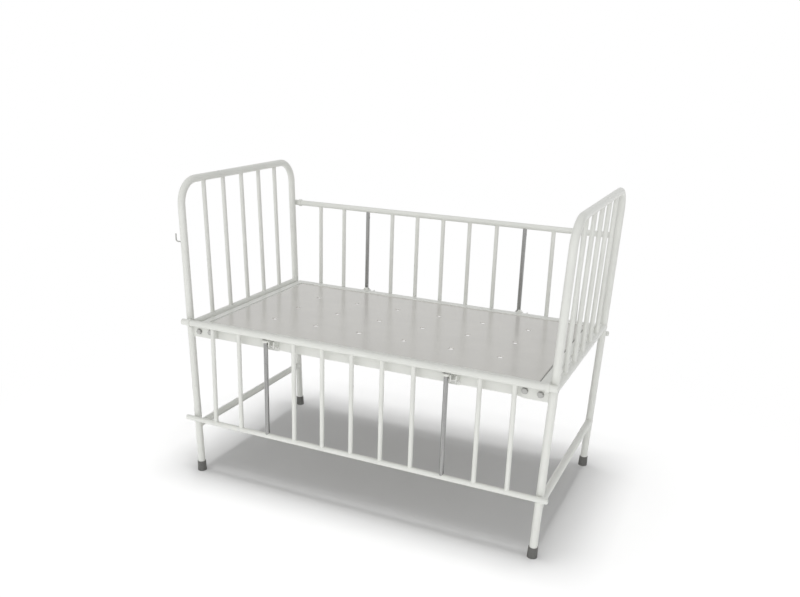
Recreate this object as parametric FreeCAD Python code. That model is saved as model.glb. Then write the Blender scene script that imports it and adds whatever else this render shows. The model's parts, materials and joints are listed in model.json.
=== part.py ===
"""Pediatric hospital cot: two leaning tube ends, a bolted angle-iron base with a
perforated deck, and two drop-side railings that slide on steel guide rods.

Millimetres.  Origin on the floor below the middle of the cot's overall box; the
chart hook puts that a little to the head side of the middle of the four shoes.
+X runs from the head end to the foot end, +Y to the rear side, +Z up.
The front railing stands lowered and the rear railing stands raised.
"""
import FreeCAD, Part
import math
import os

Vec = FreeCAD.Vector
Y_AXIS = Vec(0, 1, 0)
Z_AXIS = Vec(0, 0, 1)
HEX_SIDES = 6
FULL_TURN = 360

# ---------------------------------------------------------------- driving sizes
# End frames: one bent tube each, leaning outwards at the top.
end_spacing = 1362.0          # leg centre to leg centre along X, at the deck crossbar
leg_spacing = 750.0           # leg centre to leg centre along Y
end_lean_deg = 2.0            # lean of each end frame away from the middle of the cot
end_top_z = 1114.0            # centre of the top tube, measured up the frame
end_tube_od = 26.9            # also both crossbars
end_tube_wall = 1.6
end_bend_radius = 85.0        # centreline of the two top bends
deck_crossbar_z = 590.5
lower_crossbar_z = 191.0
end_bar_count = 5
end_bar_pitch = 120.0

# Infill bars, the same tube in the ends and in the railings.
bar_od = 15.9
bar_wall = 1.2

# Rubber shoes.
shoe_height = 38.0
shoe_base = 8.0               # rubber under the end of the leg
shoe_top_od = 31.6
shoe_bottom_od = 34.0
shoe_grip = 0.1               # radial room between the leg and the shoe's bore
shoe_edge = 1.5

# Base frame of pressed angles, with the deck sheet let in between the side rails' flanges.
frame_top_rise = 5.5          # top of the base frame above the deck crossbars' centres
frame_end_gap = 25.0          # base frame's end short of the leg's centre line
angle_depth = 45.0
angle_wall = 3.0
side_flange = 38.0
end_flange = 28.0
angle_bend = 2.0
stiffener_size = 25.0
stiffener_count = 3
sheet_wall = 1.2
sheet_gap = 5.0               # open line between the deck sheet and the end flanges
sheet_corner = 6.0            # radius of the sheet's corners
sheet_lip = 10.0              # depth of the turned-down ends
sheet_bend = 1.0
vent_hole_d = 20.0
vent_columns = 6
vent_rows = 3
vent_pitch_x = 178.0
vent_pitch_y = 171.0

# Corner plates, welded to the legs and bolted to the side rails.
plate_wall = 5.0
plate_reach = 116.0           # from the leg's centre line to the plate's free end
plate_drop = 6.0              # plate's top edge below the top of the base frame
plate_height = 42.0
plate_cut_length = 27.0       # long shallow cut at the free end's lower corner
plate_cut_height = 5.5
bolt_d = 10.0
bolt_hole_room = 0.5          # radial room of a bolt in its holes
bolt_first = 40.0             # from the leg's centre line to the first bolt
bolt_pitch = 50.0
bolt_first_drop = 3.5         # first bolt below the second
bolt_head_flats = 17.0
bolt_head_height = 6.4
bolt_head_chamfer = 1.0
washer_od = 22.5
washer_wall = 1.6
nut_height = 8.0
bolt_past_nut = 3.0
thread_room = 0.1             # radial room between the nut and the bolt

# Drop-side railings.
rail_leg_room = 1.45          # between the top rail and the legs it slides past
rail_past_leg = 21.0          # rail's end beyond the leg's centre line
rail_spacing = 380.7          # top rail centre to bottom rail centre
top_rail_od = 22.2
bottom_rail_od = 19.0
rail_wall = 1.5
cap_dome = 4.0
cap_plug = 12.0
cap_room = 0.1                # radial room of the cap's plug in the rail
upright_count = 11            # bars and rods together
upright_pitch = 113.0
rod_places = (2, 8)           # uprights that are guide rods, counted from the head
rod_od = 15.9
collar_od = 29.0              # ring on the top rail beside each leg
collar_width = 12.5
collar_edge = 2.0
collar_leg_room = 0.6         # between the collar and the leg at the lowered end of the travel

# Guide brackets with their lock bolts.
bracket_wall = 3.0
bracket_head_side = 15.0      # back plate from the rod's centre towards the head
bracket_foot_side = 38.0      # and towards the foot
bracket_below = 2.0           # back plate below the angle's lower edge
bracket_peak = 10.0           # back plate above the top of the base frame
bracket_peak_width = 12.0
bracket_peak_x = 12.0         # peak's middle from the rod's centre towards the foot
bracket_peak_slope = 6.0
bracket_shoulder_drop = 6.0   # foot-side shoulder below the top of the base frame
tongue_wall = 5.0
tongue_width = 26.0
tongue_drop = 4.9             # tongue's top face below the top of the base frame
bush_wall = 1.5
bush_flange_wall = 1.5
bush_flange_od = 24.0
rod_running_room = 0.05       # radial running fit of a rod in its bush
buffer_wall = 3.0
buffer_od = 24.0
buffer_rod_room = 0.4
seat_room = 0.3               # between the lowered top rail and the buffer
cheek_first = 14.5            # first cheek's face from the rod's centre
cheek_second = 34.0           # far cheek's face from the rod's centre
cheek_nose = 6.5              # cheek below and beyond the lock bolt's centre line
cheek_nose_radius = 4.0
cheek_stop_room = 3.0         # raised bottom rail below the cheeks
lock_drop = 22.5              # lock bolt's centre line below the top of the base frame
lock_bolt_d = 6.0
lock_bolt_room = 0.05         # radial running fit of a lock bolt in its cheeks
lock_tip_room = 0.3           # drawn bolt's tip off the rod
lock_hole_room = 0.4          # radial room of the bolt in the rod's cross hole
lock_past_cheek = 12.0
handle_d = 5.0
handle_inboard = 18.0
handle_rise = 12.5
knob_d = 8.0
knob_room = 1.0               # drawn bolt's knob off the far cheek

# Chart hook on the front leg of the head end.
hook_wire_d = 5.0
hook_z = 897.0
hook_arm = 15.0               # straight wire from the leg's surface to the bend
hook_bend = 8.0
hook_turn_deg = 90.0
hook_tip_length = 18.0

# ---------------------------------------------------------------- derived places
leg_y = leg_spacing / 2
end_x = end_spacing / 2
lean = math.radians(end_lean_deg)
tube_r = end_tube_od / 2
top_rail_r = top_rail_od / 2
bottom_rail_r = bottom_rail_od / 2
bar_r = bar_od / 2
rod_r = rod_od / 2
bush_r = rod_r + rod_running_room + bush_wall
frame_x = end_x - frame_end_gap
frame_top_z = deck_crossbar_z + frame_top_rise
frame_length = 2 * frame_x
stiffener_pitch = 2 * vent_pitch_x
rail_length = 2 * (end_x + rail_past_leg)
plate_face_y = leg_y + plate_wall / 2
frame_y = leg_y - plate_wall / 2
bracket_face_y = frame_y + bracket_wall
railing_y = leg_y + tube_r + rail_leg_room + top_rail_r
flange_under_z = frame_top_z - angle_wall
sheet_top_z = flange_under_z + sheet_wall
plate_top_z = frame_top_z - plate_drop
plate_bottom_z = plate_top_z - plate_height
bolt_z = frame_top_z - angle_depth / 2
tongue_top_z = frame_top_z - tongue_drop
tongue_under_z = tongue_top_z - tongue_wall
lock_z = frame_top_z - lock_drop
cheek_bottom_z = lock_z - cheek_nose
top_rail_down_z = tongue_top_z + buffer_wall + seat_room + top_rail_r
bottom_rail_down_z = top_rail_down_z - rail_spacing
bottom_rail_up_z = cheek_bottom_z - cheek_stop_room - bottom_rail_r
railing_travel = bottom_rail_up_z - bottom_rail_down_z
hook_turn = math.radians(hook_turn_deg)
hook_leg_x = -end_x - (hook_z - deck_crossbar_z) * math.tan(lean)
hook_bend_x = hook_leg_x - tube_r / math.cos(lean) - hook_arm
hook_tip_x = hook_bend_x - hook_bend * math.sin(hook_turn) - hook_tip_length * math.cos(hook_turn)
head_reach = hook_wire_d / 2 - hook_tip_x
foot_reach = end_x + (end_top_z - deck_crossbar_z) * math.sin(lean) + tube_r
middle_x = (head_reach - foot_reach) / 2


def centred(count, pitch):
    """Places of count things, pitch apart, about zero."""
    return [(i - (count - 1) / 2) * pitch for i in range(count)]


def box(x, y, z):
    """Box between pairs of limits, each given in any order."""
    (x0, x1), (y0, y1), (z0, z1) = sorted(x), sorted(y), sorted(z)
    return Part.makeBox(x1 - x0, y1 - y0, z1 - z0, Vec(x0, y0, z0))


def rod(start, end, radius):
    """Round bar between two points."""
    return Part.makeCylinder(radius, (end - start).Length, start, end - start)


def pipe(start, end, outer_r, wall):
    """Round tube between two points."""
    return rod(start, end, outer_r).cut(rod(start, end, outer_r - wall))


def plate_xz(points, y0, y1):
    """Flat plate with an outline in X and Z, between two Y faces."""
    corners = [Vec(x, y0, z) for x, z in points]
    face = Part.Face(Part.makePolygon(corners + corners[:1]))
    return face.extrude(Vec(0, y1 - y0, 0))


def swept(path, radius):
    """Round bar along a smooth wire."""
    start = path.Edges[0]
    centre = start.valueAt(start.FirstParameter)
    circle = Part.makeCircle(radius, centre, start.tangentAt(start.FirstParameter))
    return path.makePipe(Part.Face(Part.Wire(circle)))


def hex_prism(flats, y0, y1, x, z):
    """Hexagon across flats, along Y."""
    corner_r = flats / 2 / math.cos(math.pi / HEX_SIDES)
    turns = [k * math.tau / HEX_SIDES for k in range(HEX_SIDES)]
    return plate_xz([(x + corner_r * math.cos(t), z + corner_r * math.sin(t)) for t in turns], y0, y1)


def mirror_y(shape):
    """The same piece on the other long side."""
    return shape.mirror(Vec(0, 0, 0), Y_AXIS)


def export(node, *solids):
    """One STEP file per node, over the origin; several solids stay separate inside it."""
    shape = solids[0].copy() if len(solids) == 1 else Part.makeCompound(list(solids))
    shape.translate(Vec(middle_x, 0, 0))
    shape.exportStep(os.path.join("parts", node + ".step"))


# ---------------------------------------------------------------- end frames
def leaned(shape, side):
    """Carry a piece from the upright plane X=0 to the head (-1) or foot (+1) end."""
    placed = shape.copy()
    placed.rotate(Vec(0, 0, deck_crossbar_z), Y_AXIS, side * end_lean_deg)
    placed.translate(Vec(side * end_x, 0, 0))
    return placed


def end_path():
    """Centreline of the bent tube: up one leg, over the top and down the other."""
    straight_z = end_top_z - end_bend_radius
    straight_y = leg_y - end_bend_radius
    bend = end_bend_radius * math.sqrt(0.5)
    corners = [Vec(0, -leg_y, shoe_base), Vec(0, -leg_y, straight_z), Vec(0, -straight_y, end_top_z),
               Vec(0, straight_y, end_top_z), Vec(0, leg_y, straight_z), Vec(0, leg_y, shoe_base)]
    middle = [Vec(0, side * (straight_y + bend), straight_z + bend) for side in (-1, 1)]
    return Part.Wire([
        Part.LineSegment(corners[0], corners[1]).toShape(),
        Part.Arc(corners[1], middle[0], corners[2]).toShape(),
        Part.LineSegment(corners[2], corners[3]).toShape(),
        Part.Arc(corners[3], middle[1], corners[4]).toShape(),
        Part.LineSegment(corners[4], corners[5]).toShape(),
    ])


def end_tube_outside():
    """The bent tube without its bore, which the coped pieces are cut against."""
    return swept(end_path(), tube_r)


def end_tube():
    return end_tube_outside().cut(swept(end_path(), tube_r - end_tube_wall))


def crossbar(z):
    """Tube between the legs, its ends coped to sit round them."""
    return pipe(Vec(0, -leg_y, z), Vec(0, leg_y, z), tube_r, end_tube_wall).cut(end_tube_outside())


def end_bars():
    """Upright bars coped on the deck crossbar and under the top tube."""
    lower = rod(Vec(0, -leg_y, deck_crossbar_z), Vec(0, leg_y, deck_crossbar_z), tube_r)
    cutter = end_tube_outside().fuse(lower)
    bars = []
    for y in centred(end_bar_count, end_bar_pitch):
        bar = pipe(Vec(0, y, deck_crossbar_z), Vec(0, y, end_top_z), bar_r, bar_wall).cut(cutter)
        bars.append(max(bar.Solids, key=lambda solid: solid.Volume))
    return bars


def shoe(side_x, side_y):
    """Rubber shoe pushed on the leg's end, its underside ground level with the floor."""
    y = side_y * leg_y
    below = tube_r * math.tan(lean) + shoe_edge
    outline = [Vec(0, y, -below), Vec(shoe_bottom_od / 2, y, -below), Vec(shoe_bottom_od / 2, y, shoe_edge),
               Vec(shoe_top_od / 2, y, shoe_height), Vec(0, y, shoe_height)]
    body = Part.Face(Part.makePolygon(outline + outline[:1])).revolve(Vec(0, y, 0), Z_AXIS, FULL_TURN)
    top_edge = [e for e in body.Edges if abs(e.BoundBox.ZMin - shoe_height) < shoe_edge
                and abs(e.BoundBox.ZMax - shoe_height) < shoe_edge and len(e.Vertexes) == 1]
    body = body.makeFillet(shoe_edge, top_edge)
    bore = rod(Vec(0, y, shoe_base), Vec(0, y, shoe_height + shoe_edge), tube_r + shoe_grip)
    below_floor = box((-end_spacing, end_spacing), (-leg_spacing, leg_spacing), (-shoe_height, 0))
    return leaned(body.cut(bore), side_x).cut(below_floor)


def export_ends():
    for name, side in (("head", -1), ("foot", 1)):
        export(name + "_end_tube", leaned(end_tube(), side))
        export(name + "_deck_crossbar", leaned(crossbar(deck_crossbar_z), side))
        export(name + "_lower_crossbar", leaned(crossbar(lower_crossbar_z), side))
        export(name + "_end_bars", *[leaned(bar, side) for bar in end_bars()])
        export(name + "_front_shoe", shoe(side, -1))
        export(name + "_rear_shoe", shoe(side, 1))


# ---------------------------------------------------------------- base frame
def angle(length, flange, depth, wall, bend):
    """Pressed angle along X: flange towards +Y from the web, top face at Z=0."""
    outline = [Vec(0, 0, 0), Vec(0, flange, 0), Vec(0, flange, -wall), Vec(0, wall, -wall),
               Vec(0, wall, -depth), Vec(0, 0, -depth)]
    bar = Part.Face(Part.makePolygon(outline + outline[:1])).extrude(Vec(length, 0, 0))
    corner = [e for e in bar.Edges if e.BoundBox.YMax < wall / 2 and e.BoundBox.ZMin > -wall / 2
              and e.BoundBox.XLength > length / 2]
    return bar.makeFillet(bend, corner)


def bolt_places():
    """X and Z of the corner bolts, given on the foot side."""
    first_x = end_x - bolt_first
    return [(first_x, bolt_z - bolt_first_drop), (first_x - bolt_pitch, bolt_z)]


def bolt_bores(y0, y1):
    bores = [rod(Vec(side * x, y0, z), Vec(side * x, y1, z), bolt_d / 2 + bolt_hole_room)
             for x, z in bolt_places() for side in (-1, 1)]
    return Part.makeCompound(bores)


def front_side_rail():
    """Long angle, its web outwards and its flange carrying the edge of the deck."""
    rail = angle(frame_length, side_flange, angle_depth, angle_wall, angle_bend)
    rail.translate(Vec(-frame_x, -frame_y, frame_top_z))
    return rail.cut(bolt_bores(-frame_y - angle_wall, -frame_y + 2 * angle_wall))


def end_angle(side):
    """Short angle between the side rails' webs, cut away under their flanges."""
    inside = frame_y - angle_wall
    bar = angle(2 * inside, end_flange, angle_depth, angle_wall, angle_bend)
    bar.rotate(Vec(0, 0, 0), Z_AXIS, side * 90)
    bar.translate(Vec(side * frame_x, -side * inside, frame_top_z))
    for y in (-1, 1):
        bar = bar.cut(box((-frame_x, frame_x), (y * frame_y, y * (frame_y - side_flange)),
                          (flange_under_z, frame_top_z)))
    return bar


def stiffeners():
    """Cross angles between the webs, right under the side rails' flanges and the deck sheet."""
    inside = frame_y - angle_wall
    bars = []
    for x in centred(stiffener_count, stiffener_pitch):
        bar = angle(2 * inside, stiffener_size, stiffener_size, angle_wall, angle_bend)
        bar.rotate(Vec(0, 0, 0), Z_AXIS, -90)
        bar.translate(Vec(x - stiffener_size / 2, inside, flange_under_z))
        bars.append(bar)
    return bars


def sheet_lips(half_x, half_y):
    """Turned-down ends of the deck sheet."""
    return [box((side * half_x, side * (half_x - sheet_wall)), (-half_y, half_y),
                (sheet_top_z - sheet_lip, sheet_top_z - sheet_wall / 2)) for side in (-1, 1)]


def deck_sheet():
    """Perforated sheet on the stiffeners, welded between the side rails' flanges, its ends turned down."""
    half_x = frame_x - end_flange - sheet_gap
    half_y = frame_y - side_flange
    sheet = box((-half_x, half_x), (-half_y, half_y), (flange_under_z, sheet_top_z))
    corners = [e for e in sheet.Edges if e.BoundBox.XLength + e.BoundBox.YLength < sheet_wall]
    sheet = sheet.makeFillet(sheet_corner, corners)
    pan = sheet.fuse(sheet_lips(half_x, half_y - 2 * sheet_corner)).removeSplitter()
    ends = [e for e in pan.Edges if e.BoundBox.ZMin > sheet_top_z - sheet_wall / 2
            and e.BoundBox.XLength < sheet_wall and e.BoundBox.YLength > half_y]
    pan = pan.makeFillet(sheet_bend, ends)
    holes = [rod(Vec(x, y, flange_under_z - sheet_wall), Vec(x, y, frame_top_z), vent_hole_d / 2)
             for x in centred(vent_columns, vent_pitch_x) for y in centred(vent_rows, vent_pitch_y)]
    return pan.cut(Part.makeCompound(holes))


def front_corner_plate(side):
    """Plate edge-welded to the leg, bolted flat on the side rail's web."""
    free_x = end_x - plate_reach
    outline = [(side * end_x, plate_top_z), (side * free_x, plate_top_z),
               (side * free_x, plate_bottom_z + plate_cut_height),
               (side * (free_x + plate_cut_length), plate_bottom_z), (side * end_x, plate_bottom_z)]
    plate = plate_xz(outline, -plate_face_y, -frame_y)
    plate = plate.cut(leaned(end_tube_outside(), side))
    return plate.cut(bolt_bores(-plate_face_y - plate_wall, -frame_y + plate_wall))


def corner_bolt(x, z):
    """Hex bolt from outside, its head on the washer."""
    seat_y = -plate_face_y - washer_wall
    head = hex_prism(bolt_head_flats, seat_y - bolt_head_height, seat_y, x, z)
    crown = Part.makeCone(bolt_head_flats / 2, bolt_head_flats / 2 + bolt_head_height, bolt_head_height,
                          Vec(x, seat_y - bolt_head_height - bolt_head_chamfer / 2, z), Y_AXIS)
    end_y = -frame_y + angle_wall + nut_height + bolt_past_nut
    return head.common(crown).fuse(rod(Vec(x, seat_y, z), Vec(x, end_y, z), bolt_d / 2))


def corner_washer(x, z):
    face = Vec(x, -plate_face_y, z)
    outer = Vec(x, -plate_face_y - washer_wall, z)
    return rod(outer, face, washer_od / 2).cut(rod(outer, face, bolt_d / 2 + bolt_hole_room))


def corner_nut(x, z):
    seat_y = -frame_y + angle_wall
    bore = rod(Vec(x, seat_y, z), Vec(x, seat_y + nut_height, z), bolt_d / 2 + thread_room)
    return hex_prism(bolt_head_flats, seat_y, seat_y + nut_height, x, z).cut(bore)


def export_base():
    side_rail = front_side_rail()
    export("front_side_rail", side_rail)
    export("rear_side_rail", mirror_y(side_rail))
    export("head_end_angle", end_angle(-1))
    export("foot_end_angle", end_angle(1))
    export("deck_stiffeners", *stiffeners())
    export("deck_sheet", deck_sheet())
    for name, side in (("head", -1), ("foot", 1)):
        plate = front_corner_plate(side)
        export("front_" + name + "_corner_plate", plate)
        export("rear_" + name + "_corner_plate", mirror_y(plate))
    for node, piece in (("corner_bolts", corner_bolt), ("corner_washers", corner_washer),
                        ("corner_nuts", corner_nut)):
        front = [piece(side * x, z) for x, z in bolt_places() for side in (-1, 1)]
        export(node, *front, *[mirror_y(shape) for shape in front])


# ---------------------------------------------------------------- guide brackets
def rod_xs():
    places = centred(upright_count, upright_pitch)
    return [places[k] for k in rod_places]


def front_bracket(x):
    """Back plate on the rail's web, a tongue round the rod and two cheeks for the lock bolt."""
    low_z = frame_top_z - angle_depth - bracket_below
    peak_z = frame_top_z + bracket_peak
    shoulder_z = frame_top_z - bracket_shoulder_drop
    half_peak = bracket_peak_width / 2
    half_foot = half_peak + bracket_peak_slope
    middle = x + bracket_peak_x
    outline = [(x - bracket_head_side, low_z), (x + bracket_foot_side, low_z),
               (x + bracket_foot_side, shoulder_z), (middle + half_foot, shoulder_z),
               (middle + half_peak, peak_z), (middle - half_peak, peak_z),
               (middle - half_foot, shoulder_z), (x - bracket_head_side, shoulder_z)]
    back = plate_xz(outline, -bracket_face_y, -frame_y)
    tongue = box((x - tongue_width / 2, x + tongue_width / 2), (-railing_y, -bracket_face_y),
                 (tongue_under_z, tongue_top_z))
    nose = rod(Vec(x, -railing_y, tongue_under_z), Vec(x, -railing_y, tongue_top_z), tongue_width / 2)
    body = back.fuse([tongue, nose] + [cheek(x + start) for start in cheek_starts()])
    bore = rod(Vec(x, -railing_y, tongue_under_z), Vec(x, -railing_y, tongue_top_z), bush_r)
    bolt_bore = rod(Vec(x + rod_r, -railing_y, lock_z), Vec(x + bracket_foot_side, -railing_y, lock_z),
                    lock_bolt_d / 2 + lock_bolt_room)
    return body.cut(bore).cut(bolt_bore).removeSplitter()


def cheek_starts():
    return cheek_first, cheek_second


def cheek(x):
    """Upright ear across X with a rounded nose about the lock bolt."""
    nose_y = -railing_y - cheek_nose
    ear = box((x, x + bracket_wall), (nose_y, -bracket_face_y), (cheek_bottom_z, tongue_top_z))
    tips = [e for e in ear.Edges if e.BoundBox.YMax < -railing_y and e.BoundBox.XLength > bracket_wall / 2]
    return ear.makeFillet(cheek_nose_radius, tips)


def front_bush(x):
    """Flanged nylon bush pressed up into the tongue."""
    flange_z = tongue_under_z - bush_flange_wall
    body = rod(Vec(x, -railing_y, flange_z), Vec(x, -railing_y, tongue_top_z), bush_r)
    flange = rod(Vec(x, -railing_y, flange_z), Vec(x, -railing_y, tongue_under_z), bush_flange_od / 2)
    bore = rod(Vec(x, -railing_y, flange_z), Vec(x, -railing_y, tongue_top_z), rod_r + rod_running_room)
    return body.fuse(flange).cut(bore)


def front_buffer(x):
    """Rubber ring that the lowered top rail comes down on."""
    low = Vec(x, -railing_y, tongue_top_z)
    high = Vec(x, -railing_y, tongue_top_z + buffer_wall)
    return rod(low, high, buffer_od / 2).cut(rod(low, high, rod_r + buffer_rod_room))


def handle_ends(x):
    """Root of the handle on the lock bolt's centre line, and its tip."""
    handle_x = x + cheek_second - knob_room - knob_d / 2
    root = Vec(handle_x, -railing_y, lock_z)
    return root, root + Vec(0, handle_inboard, handle_rise)


def front_lock_bolt(x):
    """Round bolt along X, shown drawn, its handle between the cheeks rising towards the deck."""
    tip = Vec(x + rod_r + lock_tip_room, -railing_y, lock_z)
    tail = Vec(x + cheek_second + bracket_wall + lock_past_cheek, -railing_y, lock_z)
    return rod(tip, tail, lock_bolt_d / 2).fuse(rod(*handle_ends(x), handle_d / 2))


def front_lock_knob(x):
    """Ball knob on the tip of the handle."""
    return Part.makeSphere(knob_d / 2, handle_ends(x)[1]).cut(front_lock_bolt(x))


def export_guides():
    pieces = (("guide_brackets", front_bracket), ("guide_bushes", front_bush), ("rod_buffers", front_buffer))
    for node, piece in pieces:
        front = [piece(x) for x in rod_xs()]
        export("front_" + node, *front)
        export("rear_" + node, *[mirror_y(shape) for shape in front])
    for name, x in zip(("head", "foot"), rod_xs()):
        for node, piece in (("lock_bolt", front_lock_bolt), ("lock_knob", front_lock_knob)):
            shape = piece(x)
            export("front_" + name + "_" + node, shape)
            export("rear_" + name + "_" + node, mirror_y(shape))


# ---------------------------------------------------------------- railings
def rails():
    """Height and radius of the bottom and the top rail, lowered."""
    return (bottom_rail_down_z, bottom_rail_r), (top_rail_down_z, top_rail_r)


def rail_tube(z, rail_r):
    half = rail_length / 2 - cap_dome
    return pipe(Vec(-half, -railing_y, z), Vec(half, -railing_y, z), rail_r, rail_wall)


def rail_cap(side, z, rail_r):
    """Domed plug in the end of a rail."""
    half = rail_length / 2
    seat_x = side * (half - cap_dome)
    dome_r = (rail_r ** 2 + cap_dome ** 2) / (2 * cap_dome)
    ball = Part.makeSphere(dome_r, Vec(side * (half - dome_r), -railing_y, z))
    dome = ball.common(rod(Vec(seat_x, -railing_y, z), Vec(side * half, -railing_y, z), rail_r))
    plug = rod(Vec(seat_x - side * cap_plug, -railing_y, z), Vec(seat_x, -railing_y, z),
               rail_r - rail_wall - cap_room)
    return dome.fuse(plug)


def upright(x, outer, inner_r=None):
    """Upright from rail to rail, coped to both; a bore when inner_r is given."""
    low = Vec(x, -railing_y, bottom_rail_down_z)
    high = Vec(x, -railing_y, top_rail_down_z)
    body = rod(low, high, outer)
    if inner_r:
        body = body.cut(rod(low, high, inner_r))
    half = rail_length / 2
    for z, rail_r in rails():
        body = body.cut(rod(Vec(-half, -railing_y, z), Vec(half, -railing_y, z), rail_r))
    return body


def railing_bars():
    places = centred(upright_count, upright_pitch)
    return [upright(x, bar_r, bar_r - bar_wall) for k, x in enumerate(places) if k not in rod_places]


def guide_rod(x):
    """Steel rod with a cross hole for the lock bolt in the lowered and the raised place."""
    body = upright(x, rod_r)
    for z in (lock_z, lock_z - railing_travel):
        body = body.cut(rod(Vec(x - rod_od, -railing_y, z), Vec(x + rod_od, -railing_y, z),
                            lock_bolt_d / 2 + lock_hole_room))
    return body


def rail_collar(side):
    """Ring on the top rail beside the leg, its flank just clear of the leg when lowered."""
    leg_x = end_x + (top_rail_down_z - deck_crossbar_z) * math.tan(lean)
    reach = railing_y - leg_y - collar_od / 2
    outer_x = leg_x - math.sqrt((tube_r + collar_leg_room) ** 2 - reach ** 2)
    low = Vec(side * outer_x, -railing_y, top_rail_down_z)
    high = Vec(side * (outer_x - collar_width), -railing_y, top_rail_down_z)
    ring = rod(low, high, collar_od / 2)
    ring = ring.makeFillet(collar_edge, [e for e in ring.Edges if e.BoundBox.XLength < collar_edge])
    return ring.cut(rod(low, high, top_rail_r))


def export_railings():
    nodes = {
        "top_rail": [rail_tube(top_rail_down_z, top_rail_r)],
        "bottom_rail": [rail_tube(bottom_rail_down_z, bottom_rail_r)],
        "rail_caps": [rail_cap(side, z, rail_r) for z, rail_r in rails() for side in (-1, 1)],
        "railing_bars": railing_bars(),
        "guide_rods": [guide_rod(x) for x in rod_xs()],
        "rail_collars": [rail_collar(side) for side in (-1, 1)],
    }
    for node, solids in nodes.items():
        export("front_" + node, *solids)
        raised = [mirror_y(solid) for solid in solids]
        for solid in raised:
            solid.translate(Vec(0, 0, railing_travel))
        export("rear_" + node, *raised)


# ---------------------------------------------------------------- chart hook
def chart_hook():
    """Bent wire J welded to the outside of the leg."""
    sine, cosine = math.sin(hook_turn), math.cos(hook_turn)
    start = Vec(hook_leg_x, -leg_y, hook_z)
    low = Vec(hook_bend_x, -leg_y, hook_z)
    half = hook_turn / 2
    middle = low + Vec(-hook_bend * math.sin(half), 0, hook_bend * (1 - math.cos(half)))
    turned = low + Vec(-hook_bend * sine, 0, hook_bend * (1 - cosine))
    tip = turned + Vec(-hook_tip_length * cosine, 0, hook_tip_length * sine)
    path = Part.Wire([Part.LineSegment(start, low).toShape(), Part.Arc(low, middle, turned).toShape(),
                      Part.LineSegment(turned, tip).toShape()])
    wire = swept(path, hook_wire_d / 2).fuse(Part.makeSphere(hook_wire_d / 2, tip))
    return wire.cut(leaned(end_tube_outside(), -1))


os.makedirs("parts", exist_ok=True)
export_ends()
export_base()
export_guides()
export_railings()
export("chart_hook", chart_hook())
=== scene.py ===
import bmesh
import bpy
import json
import math
import numpy as np
from mathutils import Matrix, Vector


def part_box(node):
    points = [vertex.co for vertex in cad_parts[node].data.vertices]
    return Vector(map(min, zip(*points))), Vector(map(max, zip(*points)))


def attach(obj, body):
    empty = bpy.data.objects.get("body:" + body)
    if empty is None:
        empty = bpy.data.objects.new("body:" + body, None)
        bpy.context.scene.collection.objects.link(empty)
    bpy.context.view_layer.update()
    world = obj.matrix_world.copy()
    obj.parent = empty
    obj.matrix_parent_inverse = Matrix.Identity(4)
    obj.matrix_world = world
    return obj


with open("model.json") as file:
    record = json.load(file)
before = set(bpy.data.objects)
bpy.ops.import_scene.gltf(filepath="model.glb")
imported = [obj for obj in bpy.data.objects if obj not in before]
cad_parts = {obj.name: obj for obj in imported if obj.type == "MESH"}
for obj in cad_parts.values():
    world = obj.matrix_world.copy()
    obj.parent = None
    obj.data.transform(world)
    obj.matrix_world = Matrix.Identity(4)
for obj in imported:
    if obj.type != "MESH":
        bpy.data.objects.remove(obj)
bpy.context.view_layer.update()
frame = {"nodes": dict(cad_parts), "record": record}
nodes = frame["nodes"]

# ------------------------------------------------------------------ enamelled frame and railings
# Tubes, bars, rails, angles and plates are mild steel, sprayed after welding with light warm-grey
# enamel and stoved. The coat is soft-glossed and a little uneven: its tone and gloss drift
# slowly, and a fine orange peel breaks up the highlights.
MM = 0.001
DRIFT_SIZE = 111.0      # mm from a thicker patch of enamel to the next
PEEL_SIZE = 2.4         # mm; real orange peel is about half as coarse, too fine to show
PEEL_HEIGHT = 0.4       # mm between crest and hollow, before a finish's own strength
NOISE_LOW, NOISE_HIGH = 0.3, 0.7      # the span that nearly all of a noise texture lies in
BLEND_LOW, BLEND_HIGH = 0.35, 0.65    # a narrower span, so that both colours show


def linear(code):
    """sRGB hex to linear RGBA: a channel c is c / 12.92 up to 0.04045, and otherwise
    ((c + 0.055) / 1.055) to the power 2.4."""
    values = [int(code[i:i + 2], 16) / 255 for i in (1, 3, 5)]
    return tuple(c / 12.92 if c <= 0.04045 else ((c + 0.055) / 1.055) ** 2.4 for c in values) + (1.0,)


def add(material, kind, settings, links):
    """Adds one node. A setting goes to the socket of that name or number, or else to the node's
    own property, and a link joins a socket to another node's output."""
    node = material.node_tree.nodes.new(kind)
    for key, value in settings.items():
        if isinstance(key, int) or key in node.inputs:
            node.inputs[key].default_value = value
        else:
            setattr(node, key, value)
    for key, output in links.items():
        material.node_tree.links.new(output, node.inputs[key])
    return node


def begin(name):
    """A material with nothing in it but the piece's own coordinates."""
    material = bpy.data.materials.new(name)
    material.use_nodes = True
    material.node_tree.nodes.clear()
    return material, add(material, "ShaderNodeTexCoord", {}, {}).outputs["Object"]


def end(material, shader):
    """Gives the material its finished shader."""
    add(material, "ShaderNodeOutputMaterial", {}, {"Surface": shader.outputs[0]})
    return material


def per_metre(size):
    """The noise scale that puts one spot in every size millimetres: 1 / (size in metres)."""
    return 1 / (size * MM)


def blend(material, noise, low, high):
    """Runs from colour low to colour high over the middle of a noise."""
    tint = add(material, "ShaderNodeValToRGB", {}, {"Fac": noise})
    stops = tint.color_ramp.elements
    stops[0].position, stops[1].position = BLEND_LOW, BLEND_HIGH
    stops[0].color, stops[1].color = linear(low), linear(high)
    return tint.outputs["Color"]


def spread(material, noise, low, high):
    """Runs from the number low to the number high over the span of a noise."""
    return add(material, "ShaderNodeMapRange", {"From Min": NOISE_LOW, "From Max": NOISE_HIGH,
                                                "To Min": low, "To Max": high},
               {"Value": noise}).outputs[0]


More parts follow.
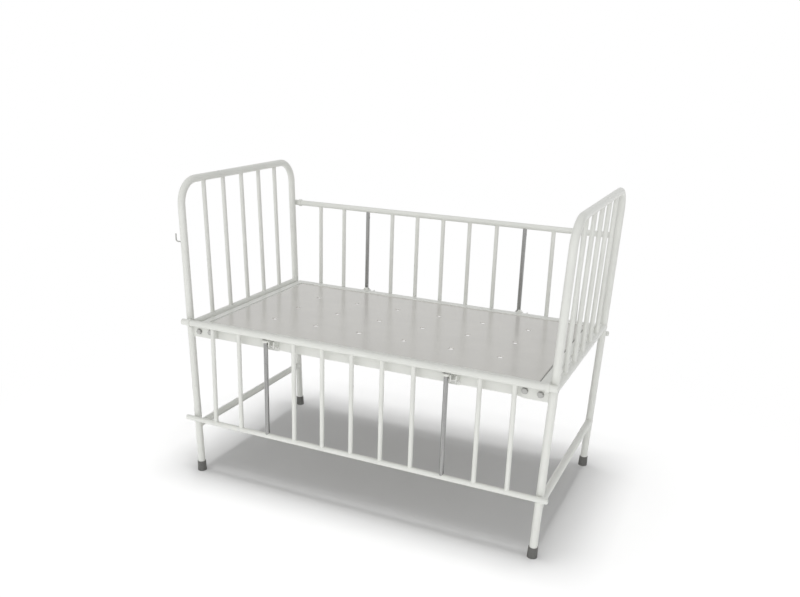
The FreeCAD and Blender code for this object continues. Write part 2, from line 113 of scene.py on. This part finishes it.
def enamel_material(name, low, high, rough, peel):
    material, place = begin(name)
    drift = add(material, "ShaderNodeTexNoise",
                {"Scale": per_metre(DRIFT_SIZE), "Detail": 3.0, "Roughness": 0.55},
                {"Vector": place}).outputs[0]
    skin_grain = add(material, "ShaderNodeTexNoise", {"Scale": per_metre(PEEL_SIZE), "Detail": 2.0},
                     {"Vector": place})
    bump = add(material, "ShaderNodeBump", {"Strength": peel, "Distance": PEEL_HEIGHT * MM},
               {"Height": skin_grain.outputs[0]})
    return end(material, add(material, "ShaderNodeBsdfPrincipled", {"IOR": 1.5}, {
        "Base Color": blend(material, drift, low, high),
        "Roughness": spread(material, drift, rough * 0.85, rough * 1.2),
        "Normal": bump.outputs[0]}))


def finish(slot, material, called=""):
    """Puts a material on the nodes of one of the record's slots whose names hold a word."""
    for part in frame["record"]["subparts"]:
        if part["material_slot"] == slot and called in part["node"]:
            for holder in nodes[part["node"]].material_slots:
                holder.material = material


enamel = enamel_material("grey_white_enamel", "#DDDED9", "#E3E4DF", 0.32, 0.25)
finish("frame_enamel", enamel)

# ------------------------------------------------------------------ enamelled deck sheet
# The deck is perforated steel sheet with the same kind of enamel, glossier than the tubes' as
# it flowed out on a level face, so that it has hardly any orange peel.
deck_enamel = enamel_material("deck_enamel", "#CFCDC8", "#D3D1CC", 0.20, 0.015)
finish("deck_enamel", deck_enamel)

# ------------------------------------------------------------------ guide rods and fasteners
# Guide rods are drawn bright steel, darker than the enamel, with fine draw lines along them.
# Bolts, washers, nuts and the chart hook are zinc plated, duller and faintly blotched. The
# lock bolts have a satin passivated zinc, paler and without any glint.
DRAW_LINE = (1.1, 1.1, 71.0)      # mm across, across and along; real lines are ten times finer
BLOTCH = (3.8, 3.8, 3.8)          # mm
CLOUDING = (5.5, 5.5, 5.5)        # mm
STEEL_RELIEF = 0.2                # mm
STEEL_BUMP = 0.12


def steel_material(name, low, high, rough, grain):
    material, place = begin(name)
    stretched = add(material, "ShaderNodeMapping", {"Scale": [per_metre(size) for size in grain]},
                    {"Vector": place})
    lines = add(material, "ShaderNodeTexNoise", {"Scale": 1.0, "Detail": 3.0, "Roughness": 0.6},
                {"Vector": stretched.outputs[0]}).outputs[0]
    bump = add(material, "ShaderNodeBump", {"Strength": STEEL_BUMP, "Distance": STEEL_RELIEF * MM},
               {"Height": lines})
    return end(material, add(material, "ShaderNodeBsdfPrincipled", {"Metallic": 1.0}, {
        "Base Color": blend(material, lines, low, high),
        "Roughness": spread(material, lines, rough * 0.8, rough * 1.25),
        "Normal": bump.outputs[0]}))


bright_steel = steel_material("drawn_bright_steel", "#949493", "#AEAEAD", 0.28, DRAW_LINE)
zinc_steel = steel_material("zinc_plated_steel", "#B2B2AF", "#C2C2BF", 0.42, BLOTCH)
satin_zinc = steel_material("satin_passivated_zinc", "#D4D4D1", "#DEDEDB", 0.60, CLOUDING)
finish("bright_steel", bright_steel)
finish("zinc_steel", zinc_steel)
finish("zinc_steel", satin_zinc, "lock_bolt")

# ------------------------------------------------------------------ shoes, buffers, bushes and balls
# Shoes are compression-moulded dark grey rubber, buffer rings a paler rubber, both matt and
# faintly mottled. Bushes are turned from natural nylon, waxy and off-white, and the balls on
# the lock handles are moulded in smooth mid grey plastic.
RUBBER_MOTTLE = 3.1      # mm
PLASTIC_MOTTLE = 4.2     # mm
MOULD_RELIEF = 0.3       # mm


def moulded_material(name, low, high, rough, grain, peel):
    material, place = begin(name)
    mottle = add(material, "ShaderNodeTexNoise", {"Scale": per_metre(grain), "Detail": 4.0},
                 {"Vector": place}).outputs[0]
    bump = add(material, "ShaderNodeBump", {"Strength": peel, "Distance": MOULD_RELIEF * MM},
               {"Height": mottle})
    return end(material, add(material, "ShaderNodeBsdfPrincipled", {"Roughness": rough}, {
        "Base Color": blend(material, mottle, low, high), "Normal": bump.outputs[0]}))


rubber = moulded_material("moulded_grey_rubber", "#5F5F5D", "#6F6F6C", 0.62, RUBBER_MOTTLE, 0.35)
pale_rubber = moulded_material("moulded_pale_rubber", "#C2C2BD", "#CBCBC6", 0.6, RUBBER_MOTTLE, 0.25)
nylon = moulded_material("natural_nylon", "#CFCDC4", "#D8D6CE", 0.42, PLASTIC_MOTTLE, 0.1)
knob_plastic = moulded_material("mid_grey_plastic", "#8E8E8A", "#989894", 0.3, PLASTIC_MOTTLE, 0.08)
finish("rubber", rubber)
finish("buffer_rubber", pale_rubber)
finish("bush_nylon", nylon)
finish("knob_plastic", knob_plastic)

# ------------------------------------------------------------------ weld beads
# Tubes, bars and plates are joined with small rippled beads, left as welded and enamelled
# over. Rings run round each coped bar end, and straight runs along the plates' edges. The
# deck sheet's seams have a smooth low bead instead. All in millimetres from the shoes' middle.
MIDDLE_X = (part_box("head_front_shoe")[0].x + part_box("foot_front_shoe")[1].x) / 2 / MM
LEAN = math.radians(2.0)                     # of each end, outwards
END_X, LEG_Y, TOP_Z = 681.0, 375.0, 1114.0   # tube centres, at deck height and at the top
DECK_BAR_Z, LOW_BAR_Z = 590.5, 191.0         # crossbars
TUBE_R, BAR_R = 13.45, 7.95
RIPPLE_PITCH, RIPPLE_DEPTH = 1.9, 0.2        # mm along the bead, share of its radius
WANDER = 0.06                                # share by which a ring's bead swells and thins
STEPS_PER_RIPPLE, BEAD_SIDES = 4, 8
SAME_POINT = 1e-7                            # m; points nearer than this are one
X, Y, Z = np.eye(3)


def centred(count, pitch):
    """Places at one pitch, the same to both sides of zero."""
    return (np.arange(count) - (count - 1) / 2) * pitch


def skin(rows, closed):
    """Quads over a grid of points, rows x columns; columns join up, and rows too when closed.
    Faces point out where column direction x row direction does."""
    count, around = rows.shape[:2]
    last = count if closed else count - 1
    i, j = np.meshgrid(np.arange(last), np.arange(around), indexing="ij")
    i2, j2 = (i + 1) % count, (j + 1) % around
    quads = np.stack([i * around + j, i * around + j2, i2 * around + j2, i2 * around + j], -1)
    return rows.reshape(-1, 3), quads.reshape(-1, 4)


def ring_bead(at, along, out, main_r, bar_r, bead):
    """Rippled bead where a bar of radius r meets a tube of radius R at right angles, as the
    surface at + out sqrt(R^2 - (r sin a)^2) + r (along cos a + side sin a)
    + b(a) ((along cos a + side sin a) cos t - out sin t), a and t once round, with
    b(a) = bead (1 - depth |sin(n a / 2)| + wander sin(3 a + y)), n ripples round it and y
    its place across the cot, so that the beads of a row of end bars differ a little."""
    side = np.cross(out, along)
    ripples = int(round(math.tau * bar_r / RIPPLE_PITCH))
    a = np.linspace(0, math.tau, ripples * STEPS_PER_RIPPLE, endpoint=False)[:, None, None]
    t = np.linspace(0, math.tau, BEAD_SIDES, endpoint=False)[None, :, None]
    radial = along * np.cos(a) + side * np.sin(a)
    root = at + out * np.sqrt(np.maximum(main_r ** 2 - (bar_r * np.sin(a)) ** 2, 0)) + bar_r * radial
    width = bead * (1 - RIPPLE_DEPTH * np.abs(np.sin(ripples * a / 2)) + WANDER * np.sin(3 * a + at[1]))
    return skin(root + width * (radial * np.cos(t) - out * np.sin(t)), True)


def straight_bead(start, stop, across, bead, pitch=RIPPLE_PITCH, depth=RIPPLE_DEPTH):
    """Rippled bead from start to stop, its ends rounded off: a circle of radius
    b(s) = bead sqrt(1 - s^8) (1 - depth |sin(pi n (s + 1) / 2)|) about the line, for s from -1
    to 1, with n ripples at the pitch."""
    start, stop, across = (np.array(v, float) for v in (start, stop, across))
    length = np.linalg.norm(stop - start)
    up = np.cross((stop - start) / length, across)
    ripples = int(round(length / pitch))
    s = np.linspace(-1, 1, ripples * STEPS_PER_RIPPLE + 1)[:, None, None]
    t = np.linspace(0, math.tau, BEAD_SIDES, endpoint=False)[None, :, None]
    width = bead * np.sqrt(1 - s ** 8) * (1 - depth * np.abs(np.sin(math.pi * ripples * (s + 1) / 2)))
    middle = (start + stop) / 2 + (stop - start) / 2 * s
    return skin(middle + width * (across * np.cos(t) + up * np.sin(t)), False)


def leaned(surface, side):
    """Turns a surface of an upright end by the lean about its deck crossbar, and sets it at that
    end: x = side END + x cos + (z - bar) sin, z = bar - x sin + (z - bar) cos."""
    points, quads = surface
    x, y, z = points[:, 0], points[:, 1], points[:, 2] - DECK_BAR_Z
    turn = side * LEAN
    return np.stack([side * END_X + x * math.cos(turn) + z * math.sin(turn), y,
                     DECK_BAR_Z - x * math.sin(turn) + z * math.cos(turn)], -1), quads


def made(name, surfaces, material):
    """One object from several surfaces given in millimetres from the middle of the shoes. Points
    that fall together at a bead's tip become one."""
    starts = np.cumsum([0] + [len(points) for points, quads in surfaces[:-1]])
    points = (np.concatenate([points for points, quads in surfaces]) + (MIDDLE_X, 0, 0)) * MM
    quads = np.concatenate([quads + start for (_, quads), start in zip(surfaces, starts)])
    mesh = bpy.data.meshes.new(name)
    mesh.from_pydata(points.tolist(), [], quads.tolist())
    joined = bmesh.new()
    joined.from_mesh(mesh)
    bmesh.ops.remove_doubles(joined, verts=joined.verts, dist=SAME_POINT)
    joined.to_mesh(mesh)
    joined.free()
    mesh.shade_smooth()
    mesh.materials.append(material)
    piece = bpy.data.objects.new(name, mesh)
    bpy.context.scene.collection.objects.link(piece)
    return piece


# Both ends: bars to the deck crossbar and the top, crossbars to the legs, and the corner
# plates' edges up the inside of the legs.
END_BARS, END_BAR_PITCH = 5, 120.0
END_BAR_BEAD, CROSSBAR_BEAD, PLATE_BEAD = 1.7, 2.0, 1.9
HALF_PLATE = 2.5
PLATE_SEAM_Z = (549.0, 589.0)
frame_beads = []
for side in (-1, 1):
    for y in centred(END_BARS, END_BAR_PITCH):
        for z, out in ((DECK_BAR_Z, Z), (TOP_Z, -Z)):
            foot = ring_bead(np.array([0, y, z]), Y, out, TUBE_R, BAR_R, END_BAR_BEAD)
            frame_beads.append(leaned(foot, side))
    for leg in (-1, 1):
        for z in (DECK_BAR_Z, LOW_BAR_Z):
            foot = ring_bead(np.array([0, leg * LEG_Y, z]), Z, -leg * Y, TUBE_R, TUBE_R, CROSSBAR_BEAD)
            frame_beads.append(leaned(foot, side))
        seam_x = -side * math.sqrt(TUBE_R ** 2 - HALF_PLATE ** 2)
        for y in (LEG_Y - HALF_PLATE, LEG_Y + HALF_PLATE):
            low, high = ((seam_x, leg * y, z) for z in PLATE_SEAM_Z)
            frame_beads.append(leaned(straight_bead(low, high, -side * X, PLATE_BEAD), side))

# The chart hook's wire on the head end's front leg.
HOOK_Z, HOOK_WIRE_R, HOOK_BEAD = 897.0, 2.5, 1.1
hook_foot = ring_bead(np.array([0, -LEG_Y, HOOK_Z]), Z, -X, TUBE_R, HOOK_WIRE_R, HOOK_BEAD)
frame_beads.append(leaned(hook_foot, -1))

# The guide brackets' two upright edges on the side rails.
ROD_X, BRACKET_EDGES = 339.0, (-15.0, 38.0)    # a bracket's edges from its rod's centre
BRACKET_Y, BRACKET_Z, BRACKET_BEAD = 372.5, (552.0, 588.0), 1.8
for side in (-1, 1):
    for rod_x in (-ROD_X, ROD_X):
        for edge in BRACKET_EDGES:
            low, high = ((rod_x + edge, side * BRACKET_Y, z) for z in BRACKET_Z)
            frame_beads.append(straight_bead(low, high, X, BRACKET_BEAD))

# The stiffeners' ends on the inside of the side rails.
STIFFENERS, STIFFENER_PITCH, HALF_STIFFENER = 3, 356.0, 12.5
STIFFENER_Y, STIFFENER_Z, STIFFENER_BEAD = 369.5, (568.0, 590.0), 1.6
for x in centred(STIFFENERS, STIFFENER_PITCH) - HALF_STIFFENER:
    for side in (-1, 1):
        low, high = ((x, side * STIFFENER_Y, z) for z in STIFFENER_Z)
        frame_beads.append(straight_bead(low, high, X, STIFFENER_BEAD))

# The deck sheet's seams along the side flanges and in the line at the head end.
SEAL_PITCH = 30.0
SIDE_SEAL = {"bead": 2.7, "pitch": SEAL_PITCH, "depth": 0.05}
SIDE_SEAL_X, SIDE_SEAL_Y, SIDE_SEAL_Z = 617.0, 334.5, 595.3
HEAD_SEAL = {"bead": 2.5, "pitch": SEAL_PITCH, "depth": 0.04}
HEAD_SEAL_X, HEAD_SEAL_Y, HEAD_SEAL_Z = -625.5, 333.0, 592.3
for side in (-1, 1):
    head, foot = ((x, side * SIDE_SEAL_Y, SIDE_SEAL_Z) for x in (-SIDE_SEAL_X, SIDE_SEAL_X))
    frame_beads.append(straight_bead(head, foot, Y, **SIDE_SEAL))
front, rear = ((HEAD_SEAL_X, y, HEAD_SEAL_Z) for y in (-HEAD_SEAL_Y, HEAD_SEAL_Y))
frame_beads.append(straight_bead(front, rear, X, **HEAD_SEAL))

bed_frame_welds = made("bed_frame_welds", frame_beads, enamel)
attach(bed_frame_welds, "bed_frame")

# Both railings: uprights to the bottom rail, and all but the guide rods to the top rail.
UPRIGHTS, UPRIGHT_PITCH, ROD_PLACES = 11, 113.0, (2, 8)
RAILING_Y, RAILING_TRAVEL = 401.0, 329.7
BOTTOM_RAIL_Z, BOTTOM_RAIL_R = 224.8, 9.5    # with the railing down
TOP_RAIL_Z, TOP_RAIL_R = 605.5, 11.1
UPRIGHT_BEAD = 1.6
for name, side, lift in (("front_railing", -1, 0.0), ("rear_railing", 1, RAILING_TRAVEL)):
    railing_beads = []
    for place, x in enumerate(centred(UPRIGHTS, UPRIGHT_PITCH)):
        low, high = (np.array([x, side * RAILING_Y, z + lift]) for z in (BOTTOM_RAIL_Z, TOP_RAIL_Z))
        railing_beads.append(ring_bead(low, X, Z, BOTTOM_RAIL_R, BAR_R, UPRIGHT_BEAD))
        if place not in ROD_PLACES:
            railing_beads.append(ring_bead(high, X, -Z, TOP_RAIL_R, BAR_R, UPRIGHT_BEAD))
    railing_welds = made(name + "_welds", railing_beads, enamel)
    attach(railing_welds, name)

# ------------------------------------------------------------------ painted shade cord at the deck's foot end
# The sheet stops short of the foot end's flange, and a cord of mid grey rubber lies in that line.
# Its grey is painted shade: it stands in for the shadow down in that gap. It is matt and a
# little lighter than the shoes' rubber, with the same faint mottle.
PAINTED_SHADE_CORD = {"bead": 3.6, "pitch": 30.0, "depth": 0.02}
SHADE_CORD_X, SHADE_CORD_Y, SHADE_CORD_Z = 624.2, 331.0, 592.2
# this grey paints the shadow in the gap at the foot end; it is not a real part's colour
shade_cord_grey = moulded_material("painted_shade_grey_rubber", "#9C9C98", "#A6A6A2", 0.7, RUBBER_MOTTLE, 0.2)
front, rear = ((SHADE_CORD_X, y, SHADE_CORD_Z) for y in (-SHADE_CORD_Y, SHADE_CORD_Y))
# the cord laid in the foot-end gap, a painted shade
shade_cord_piece = made("foot_end_painted_shade", [straight_bead(front, rear, X, **PAINTED_SHADE_CORD)], shade_cord_grey)
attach(shade_cord_piece, "bed_frame")

# ------------------------------------------------------------------ vent hole rims
# The 18 vent holes in the deck are drawn down by the punch, so that no cut edge is left for
# the mattress cover: each has a rolled lip and a short neck, enamelled with the sheet.
VENT_R, NECK_R = 10.0, 8.8
SHEET_TOP_Z, NECK_END_Z = 594.2, 590.2
LIP_DROP = 0.02                  # keeps the lip's edge just below the sheet's face
NECK_EDGE = 0.3                  # height of the neck's rounded end
VENT_COLUMNS, VENT_PITCH_X = 6, 178.0
VENT_ROWS, VENT_PITCH_Y = 3, 171.0
LIP_STEPS, RIM_SIDES = 7, 40


def neck_profile(steps):
    """Radius and height round the rim's closed section, of wall w. The lip is a quarter circle in
    from the sheet's top face, r = R - w sin a and z = top - w (1 - cos a), and the neck's end a
    half ellipse, r = neck + w / 2 (1 - cos b) and z = end + edge (1 - sin b)."""
    wall = VENT_R - NECK_R
    a = np.linspace(0, math.pi / 2, steps)
    b = np.linspace(0, math.pi, steps)
    lip = np.stack([VENT_R - wall * np.sin(a), SHEET_TOP_Z - LIP_DROP - wall * (1 - np.cos(a))], -1)
    edge = np.stack([NECK_R + wall / 2 * (1 - np.cos(b)), NECK_END_Z + NECK_EDGE * (1 - np.sin(b))], -1)
    return np.concatenate([lip, edge])


def turned(profile, at, around):
    """Turns a closed section once round an upright axis: points at + (r cos t, r sin t, z)."""
    t = np.linspace(0, math.tau, around, endpoint=False)[None, :]
    r, z = profile[:, :1], profile[:, 1:]
    return skin(np.stack([at[0] + r * np.cos(t), at[1] + r * np.sin(t), z + 0 * t], -1), True)


rims = [turned(neck_profile(LIP_STEPS), (x, y), RIM_SIDES)
        for x in centred(VENT_COLUMNS, VENT_PITCH_X) for y in centred(VENT_ROWS, VENT_PITCH_Y)]
vent_rims = made("vent_hole_rims", rims, deck_enamel)
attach(vent_rims, "bed_frame")

# ------------------------------------------------------------------ floor
# A pale matt floor that takes a soft shadow from an overhead lamp of its own. Round the cot it
# fades into plain white, which is seen directly and in gloss.
FLOOR_SEEN = 1.0                 # white, to the camera and in gloss
FLOOR_GLOW = 0.97                # what the far floor lends the object
FLOOR_HALF = 30.0                # m
FADE_FROM, FADE_TO = 1.25, 2.0   # m from the middle


def background_share(material):
    """1 for the rays that show the background, which are the camera's and those in gloss and
    glass, and 0 for the rest."""
    ray = add(material, "ShaderNodeLightPath", {}, {})
    share = ray.outputs["Is Camera Ray"]
    for kind in ("Is Glossy Ray", "Is Transmission Ray"):
        share = add(material, "ShaderNodeMath", {"operation": "ADD", "use_clamp": True},
                    {0: share, 1: ray.outputs[kind]}).outputs[0]
    return share


WHITE = (1.0, 1.0, 1.0, 1.0)
floor_mesh = bpy.data.meshes.new("floor")
corners = [(x * FLOOR_HALF, y * FLOOR_HALF, 0) for x, y in ((-1, -1), (1, -1), (1, 1), (-1, 1))]
floor_mesh.from_pydata(corners, [], [(0, 1, 2, 3)])
floor = bpy.data.objects.new("floor", floor_mesh)
bpy.context.scene.collection.objects.link(floor)
floor_paint, floor_place = begin("pale_floor")
near_floor = add(floor_paint, "ShaderNodeBsdfDiffuse", {"Color": linear("#CDCDCD")}, {})
far_level = add(floor_paint, "ShaderNodeMapRange", {"To Min": FLOOR_GLOW, "To Max": FLOOR_SEEN},
                {"Value": background_share(floor_paint)})
far_floor = add(floor_paint, "ShaderNodeEmission", {"Color": WHITE}, {"Strength": far_level.outputs[0]})
reach = add(floor_paint, "ShaderNodeVectorMath", {"operation": "LENGTH"}, {0: floor_place})
fade = add(floor_paint, "ShaderNodeMapRange",
           {"From Min": FADE_FROM, "From Max": FADE_TO, "interpolation_type": "SMOOTHSTEP"},
           {"Value": reach.outputs["Value"]})
end(floor_paint, add(floor_paint, "ShaderNodeMixShader", {},
                     {0: fade.outputs[0], 1: near_floor.outputs[0], 2: far_floor.outputs[0]}))
floor_mesh.materials.append(floor_paint)

# ------------------------------------------------------------------ room and lamp
# The room is bright in front and above and dim behind, each side's level falling off with the
# square of the cosine from it. The background itself is white. One soft lamp overhead lights
# only the floor, for the shadow.
ROOM = {"above": ((0, 0, 1), 0.88), "front": ((0, -1, 0), 1.58), "behind": ((0, 1, 0), 0.26),
        "head": ((-1, 0, 0), 0.02), "foot": ((1, 0, 0), 0.28)}
LAMP_AT = (-0.05, -0.2, 8.0)     # m, facing straight down
LAMP_SIZE, LAMP_POWER = 3.4, 700.0

world = bpy.data.worlds.new("surround")
bpy.context.scene.world = world
world.use_nodes = True
world.node_tree.nodes.clear()
direction = add(world, "ShaderNodeTexCoord", {}, {}).outputs["Generated"]
level_links = {}
for towards, level in ROOM.values():
    facing = add(world, "ShaderNodeVectorMath", {"operation": "DOT_PRODUCT", 1: towards}, {0: direction})
    cosine = add(world, "ShaderNodeMath", {"operation": "MAXIMUM", 1: 0.0},
                 {0: facing.outputs["Value"]}).outputs[0]
    squared = add(world, "ShaderNodeMath", {"operation": "MULTIPLY"}, {0: cosine, 1: cosine})
    total = add(world, "ShaderNodeMath", {"operation": "MULTIPLY_ADD", 1: level, 2: 0.0},
                {0: squared.outputs[0], **level_links})
    level_links = {2: total.outputs[0]}
room = add(world, "ShaderNodeBackground", {"Color": WHITE}, {"Strength": total.outputs[0]})
white = add(world, "ShaderNodeBackground", {"Color": WHITE, "Strength": 1.0}, {})
choice = add(world, "ShaderNodeMixShader", {},
             {0: background_share(world), 1: room.outputs[0], 2: white.outputs[0]})
add(world, "ShaderNodeOutputWorld", {}, {"Surface": choice.outputs[0]})

lamp = bpy.data.lights.new("overhead", "AREA")
lamp.size = LAMP_SIZE
lamp.energy = LAMP_POWER
shadow_lamp = bpy.data.objects.new("overhead", lamp)
shadow_lamp.location = LAMP_AT
bpy.context.scene.collection.objects.link(shadow_lamp)
floor_only = bpy.data.collections.new("floor_only")
floor_only.objects.link(floor)
shadow_lamp.light_linking.receiver_collection = floor_only

# ------------------------------------------------------------------ camera
# It stands at the front, towards the foot end and above the cot, looking down a little. Its
# place is measured from the middle of the shoes, as all the pieces' are.
CAMERA_AT = (1.1995 + MIDDLE_X * MM, -2.7622, 1.5344)    # m
CAMERA_RIGHT = (0.90316, 0.42866, 0.02357)
CAMERA_FORWARD = (-0.39949, 0.85926, -0.31949)
SENSOR, FOCAL = 36.0, 37.775                             # mm
SHIFT = (0.0255, 0.055)                                  # of the frame's width

right = Vector(CAMERA_RIGHT).normalized()
forward = Vector(CAMERA_FORWARD).normalized()
up = right.cross(forward).normalized()
lens = bpy.data.cameras.new("camera")
lens.sensor_width = SENSOR
lens.lens = FOCAL
lens.shift_x, lens.shift_y = SHIFT
camera = bpy.data.objects.new("camera", lens)
camera.matrix_world = Matrix([(*row, at) for row, at in zip(zip(right, up, -forward), CAMERA_AT)]
                             + [(0, 0, 0, 1)])
bpy.context.scene.collection.objects.link(camera)
bpy.context.scene.camera = camera
bpy.context.scene.view_settings.view_transform = "Standard"
